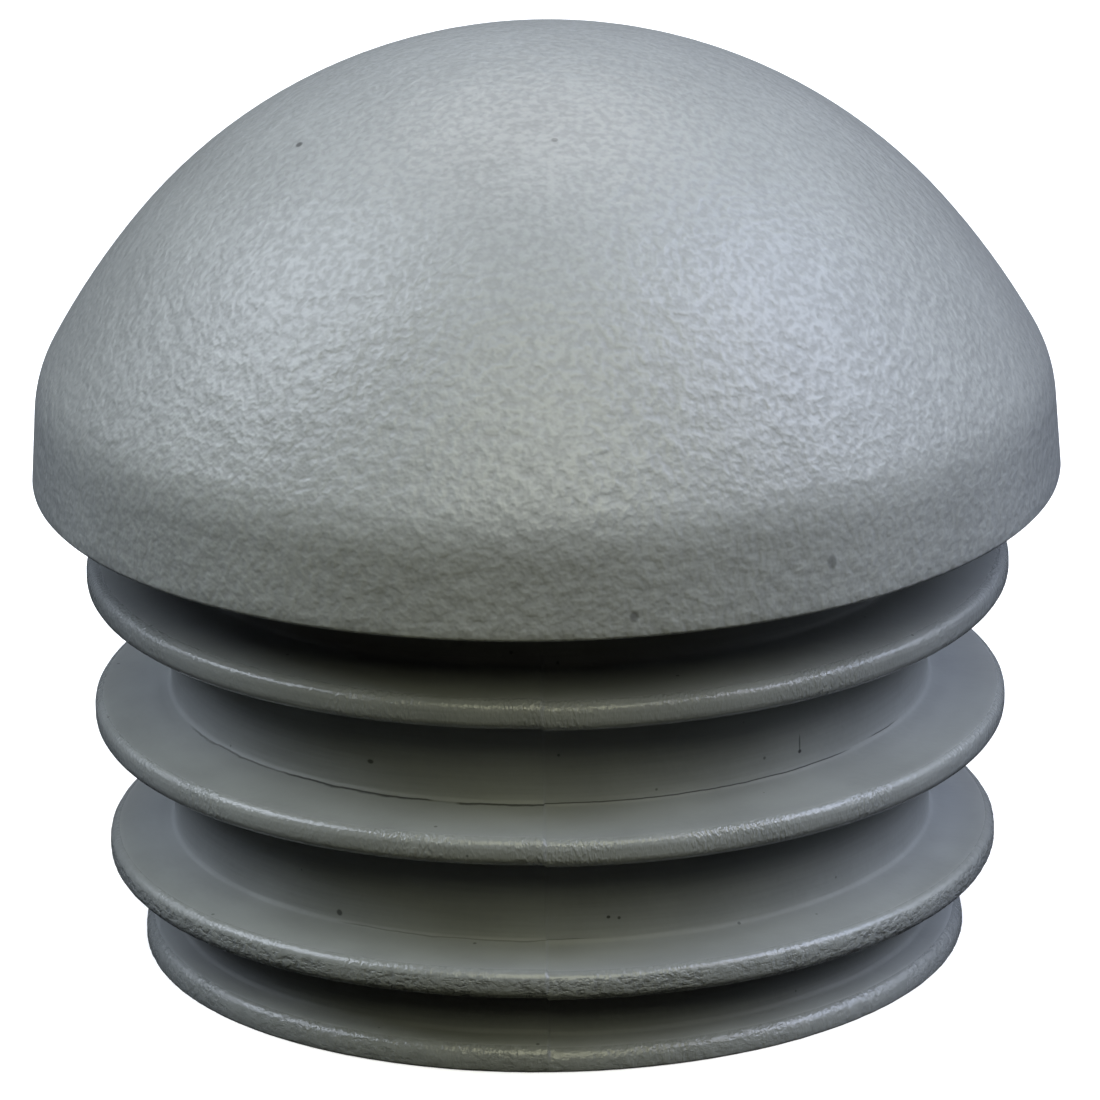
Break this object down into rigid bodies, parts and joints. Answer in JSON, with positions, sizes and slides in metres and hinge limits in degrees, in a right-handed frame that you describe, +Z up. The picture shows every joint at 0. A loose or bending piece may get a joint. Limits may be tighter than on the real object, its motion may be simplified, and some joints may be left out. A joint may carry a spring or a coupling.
{
  "type": "tube end cap",
  "caption": "Domed plastic end cap for a round tube, with a hollow stem whose thin ribs grip the tube's bore.",
  "frame": {"origin": "centre of the open end of the stem, where the cap stands", "axes": "+Z up the cap's axis, from the stem's open end to the top of the dome; +X and +Y across, with -Y the front"},
  "size_m": [0.032, 0.032, 0.029],
  "materials": {
    "grey_plastic": "fine spark-eroded grain on the head, satin on the stem"
  },
  "bodies": {
    "root": {"end_cap": "grey_plastic"}
  },
  "joints": []
}
